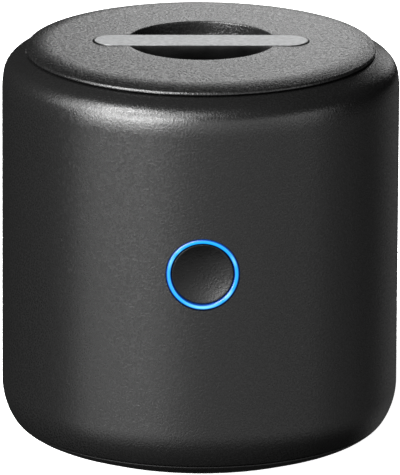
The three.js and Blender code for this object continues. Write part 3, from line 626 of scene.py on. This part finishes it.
# The dome bends down to its edge, and a fine lip hangs from that over the dark gap
dome_reach, edge_bend = 29.9, 18.9
dome_end = math.asin(dome_reach / top_radius)
edge_middle = (dome_reach - edge_bend * math.sin(dome_end),
               top_height(dome_reach) - edge_bend * math.cos(dome_end))
lid_radius, lip_top, lip_bottom, lip_inner, gap_top = 35.2, 80.79, 80.3, 34.4, 80.4
# The spigot reaches down into the chamber, with a groove round it for the grip ring
spigot_outer, spigot_inner, spigot_end, lid_under = 30.82, 29.02, 68.65, 79.8
groove_radius, groove_bottom, groove_top = 30.02, 74.4, 76.0
lid = turned("lid", rounded(
    (0, recess_floor),
    *arc(recess_centre, recess_curve, -90, 0, 16),
    (recess_radius, top_height(recess_radius), 0.25),
    *[(radius, top_height(radius)) for radius in (17, 19, 21, 23, 25, 27)],
    *arc(edge_middle, edge_bend, 90 - math.degrees(dome_end), 73, 12),
    (lid_radius, lip_top, 0.52),
    (lid_radius, lip_bottom, 0.02),
    (lip_inner, lip_bottom, 0.05),
    (lip_inner, gap_top),
    (spigot_outer, gap_top),
    (spigot_outer, groove_top),
    (groove_radius, groove_top),
    (groove_radius, groove_bottom),
    (spigot_outer, groove_bottom),
    (spigot_outer, spigot_end, 0.3),
    (spigot_inner, spigot_end, 0.2),
    (spigot_inner, lid_under),
    (recess_radius + recess_wall, lid_under),
    *arc(recess_centre, recess_curve + recess_wall, -3, -90, 8),
    (0, recess_floor - recess_wall),
    closed=False, steps=8), steps=240)
# Pads under the lid carry the bar's ends, and the bar's seat is cut into both
pad = block("pad", (8.2, 12.3, 4.0), (19.35, 0, 78.35), 0.4)
shape(lid, put(copied(pad, "pad_left"), turn=(0, 0, math.pi)), "UNION")
shape(lid, pad, "UNION")
bar_length, bar_width, bar_bottom, bar_top = 43.1, 8.5, 77.95, 82.12
seat_gap, over_lid = 0.3, 84
shape(lid, slab("bar_seat", bar_length + 2 * seat_gap, bar_width + 2 * seat_gap,
                bar_bottom, over_lid))
dress(lid, lid_plastic, "lid", ["lid_shell"])

# The metal face lies in a pocket of the bar, which leaves a thin dark edge round it
inlay_bottom, inlay_top, pocket_edge, inlay_edge = 81.5, 82.148, 0.24, 0.27
handle = slab("handle", bar_length, bar_width, bar_bottom, bar_top, soften=0.08, rounding=40)
shape(handle, slab("inlay_pocket", bar_length - 2 * pocket_edge, bar_width - 2 * pocket_edge,
                   inlay_bottom, over_lid, rounding=40))
dress(handle, bar_plastic, "lid", ["handle_bar"])
inlay = slab("inlay", bar_length - 2 * inlay_edge, bar_width - 2 * inlay_edge,
             inlay_bottom, inlay_top, rounding=40)
dress(inlay, satin_metal, "lid", ["handle_inlay"])

seal_radius, seal_bottom, grip_inner, grip_outer = 34.2, 80.1, 30.32, 31.02
seal = turned("seal", rounded(
    (mouth_radius, seal_bottom), (seal_radius, seal_bottom, 0.12), (seal_radius, gap_top),
    (mouth_radius, gap_top)))
dress(seal, black_rubber, "lid", ["lid_seal"])
grip = turned("grip", rounded(
    (grip_inner, groove_bottom), (grip_outer, groove_bottom, 0.5),
    (grip_outer, groove_top, 0.5), (grip_inner, groove_top)))
dress(grip, black_rubber, "lid", ["grip_ring"])
mirror_radius, mirror_bottom = 28.42, 68.15
mirror = turned("lid_mirror", rounded(
    (0, mirror_bottom), (mirror_radius, mirror_bottom, 0.2), (mirror_radius, spigot_end),
    (0, spigot_end), closed=False))
dress(mirror, mirror_metal, "lid", ["lid_reflector"])


# ---- Finishes of the nodes that are kept ----

kept = {
    "circuit_board": circuit_board, "dark_plastic": dark_plastic, "black_rubber": black_rubber,
    "lamp_board": lamp_board, "steel": steel, "cell_wrap": cell_wrap,
    "white_plastic": white_plastic, "diode": diode_ceramic, "amber_film": amber_film,
    "mirror_metal": mirror_metal, "case_plastic": case_plastic,
    "button_plastic": button_plastic, "satin_metal": satin_metal, "quartz": quartz,
    "blue_light": lit_ring,
}
for part in frame["record"]["subparts"]:
    mesh = nodes[part["node"]].data
    mesh.materials.clear()
    mesh.materials.append(kept[part["material_slot"]])


# ---- Floor, light and camera ----

bpy.ops.object.select_all(action="DESELECT")
bpy.ops.mesh.primitive_plane_add(size=12)
floor = bpy.context.object
floor.name = floor.data.name = "floor"
# White paper with the faintest fibre, as bright as the photograph's ground
white, tree, shader, place = plain_finish("white_paper", "#FFFFFF", 1.0)
fibre = add(tree, "ShaderNodeTexNoise", {"Vector": place, "Scale": 1 / (2 * mm)})
relief(tree, shader, fibre.outputs["Fac"], 0.02)
shader.inputs["Emission Color"].default_value = linear("#FFFFFF")
shader.inputs["Emission Strength"].default_value = 1.0
floor.data.materials.append(white)
# The paper is lit by itself and sends nothing back up, so the case's lower edge stays dark
floor.visible_diffuse = floor.visible_glossy = floor.visible_shadow = False

aim = Vector((0, 0, 40.83 * mm))  # what the camera and the panels face, near the case's middle


def outward(azimuth, elevation):
    """The way out from the case; azimuth 0 is in front and a quarter turn is at the right."""
    level = math.cos(elevation)
    return Vector((math.sin(azimuth) * level, -math.cos(azimuth) * level, math.sin(elevation)))


def panel(name, azimuth, elevation, width, height, brightness, distance=1.2):
    """A soft panel light that faces the case, at angles in degrees."""
    out = outward(math.radians(azimuth), math.radians(elevation))
    light = bpy.data.lights.new(name, "AREA")
    light.shape, light.size, light.size_y = "RECTANGLE", width, height
    light.energy = brightness * math.pi * width * height
    lamp = bpy.data.objects.new(name, light)
    lamp.location = aim + out * distance
    lamp.rotation_mode = "QUATERNION"
    lamp.rotation_quaternion = out.to_track_quat("Z", "Y")
    lamp.visible_camera = False
    bpy.context.scene.collection.objects.link(lamp)


# A large soft source at the upper left, pale fills in front, white paper below, and the lit ground
# behind, which the lid mirrors. Azimuth, elevation, width, height and brightness of each panel
for settings in (
    ("key_high", -54, 52, 0.46, 0.26, 39.0),
    ("key_side", -60, 31, 0.3, 0.26, 37.5),
    ("key_front", -24, 31, 0.3, 0.26, 29.0),
    ("key_low", -60, 9, 0.3, 0.26, 28.5),
    ("key_middle", -36, 14.5, 0.3, 0.5, 26.6),
    ("key_wide", -36, 14.5, 0.82, 0.5, 11.6),
    ("key_top", -12, 53, 0.3, 0.26, 11.5),
    ("fill_left", -84, 36.5, 0.3, 1.0, 6.5),
    ("fill_front", 0, 10, 0.6, 0.55, 1.9),
    ("fill_right", 30, 10, 0.6, 0.55, 1.3),
    ("fill_far_right", 60, 10, 0.6, 0.55, 1.85),
    ("paper_far_left", -60, -20, 0.6, 0.55, 1.22),
    ("paper_left", -30, -20, 0.6, 0.55, 1.45),
    ("paper_front", 0, -20, 0.6, 0.55, 0.52),
    ("paper_right", 30, -20, 0.6, 0.55, 0.59),
    ("paper_far_right", 60, -20, 0.6, 0.55, 0.55),
    ("paper_side", 90, -20, 0.6, 0.55, 0.23),
    ("paper_behind", 125, -20, 0.7, 0.55, 0.09),
    ("paper_far_behind", 150, -20, 0.6, 0.55, 0.12),
    ("back_right", 160, 10, 0.25, 0.4, 1.35),
    ("back_high", 176, 24, 0.3, 0.26, 1.5),
    ("back_low", 176, 12, 0.3, 0.26, 2.1),
):
    panel(*settings)

# The camera sees a white room, but the room itself hardly lights the case
world = bpy.context.scene.world or bpy.data.worlds.new("studio")
bpy.context.scene.world = world
world.use_nodes = True
room = world.node_tree
room.nodes.clear()
seen = add(room, "ShaderNodeLightPath").outputs["Is Camera Ray"]
dim = add(room, "ShaderNodeBackground", {"Color": linear("#FFFFFF"), "Strength": 0.015})
bright = add(room, "ShaderNodeBackground", {"Color": linear("#FFFFFF"), "Strength": 1.0})
chosen = add(room, "ShaderNodeMixShader", {
    0: seen, 1: dim.outputs["Background"], 2: bright.outputs["Background"]})
add(room, "ShaderNodeOutputWorld", {"Surface": chosen.outputs["Shader"]})
bpy.context.scene.view_settings.view_transform = "Standard"

# A very long lens, because the photograph shows hardly any perspective
view = bpy.data.cameras.new("camera")
view.lens, view.sensor_width = 717, 36
camera = bpy.data.objects.new("camera", view)
azimuth, elevation, roll = math.radians(-0.85), math.radians(16.2), math.radians(0.3)
camera_distance = 1.913
back = outward(azimuth, elevation)
camera.location = aim + back * camera_distance
camera.rotation_mode = "QUATERNION"
level = back.to_track_quat("Z", "Y")
camera.rotation_quaternion = Quaternion(back, roll) @ level
bpy.context.scene.collection.objects.link(camera)
bpy.context.scene.camera = camera
